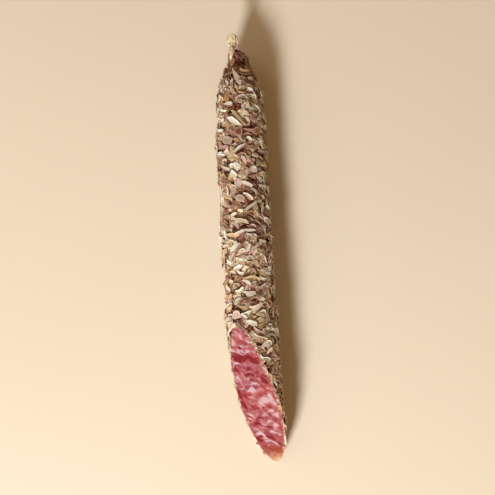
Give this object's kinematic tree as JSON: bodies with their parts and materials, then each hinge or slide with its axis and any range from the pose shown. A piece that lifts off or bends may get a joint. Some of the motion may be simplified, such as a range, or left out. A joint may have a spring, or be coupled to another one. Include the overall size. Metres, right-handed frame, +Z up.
{
  "type": "cured sausage",
  "caption": "Thin dry-cured sausage lying on its side, rolled in chopped dried onion, with one end gathered and twisted off and the other sliced at a long slant to show marbled meat.",
  "frame": {"origin": "middle of the bounding box's underside, on the surface that the sausage lies on", "axes": "+Y along the sausage towards its gathered end and twisted casing, -Y towards the slanting cut, +Z up; the cut faces up, towards -Y and a little towards -X"},
  "size_m": [0.0276, 0.2224, 0.0265],
  "materials": {
    "coat": "matte, rough flakes of dried onion over a dark reddish casing",
    "meat": "satin, slightly moist cut meat marbled with fat",
    "casing": "dry, twisted, slightly translucent skin"
  },
  "bodies": {
    "root": {"sausage": "coat"}
  },
  "joints": []
}
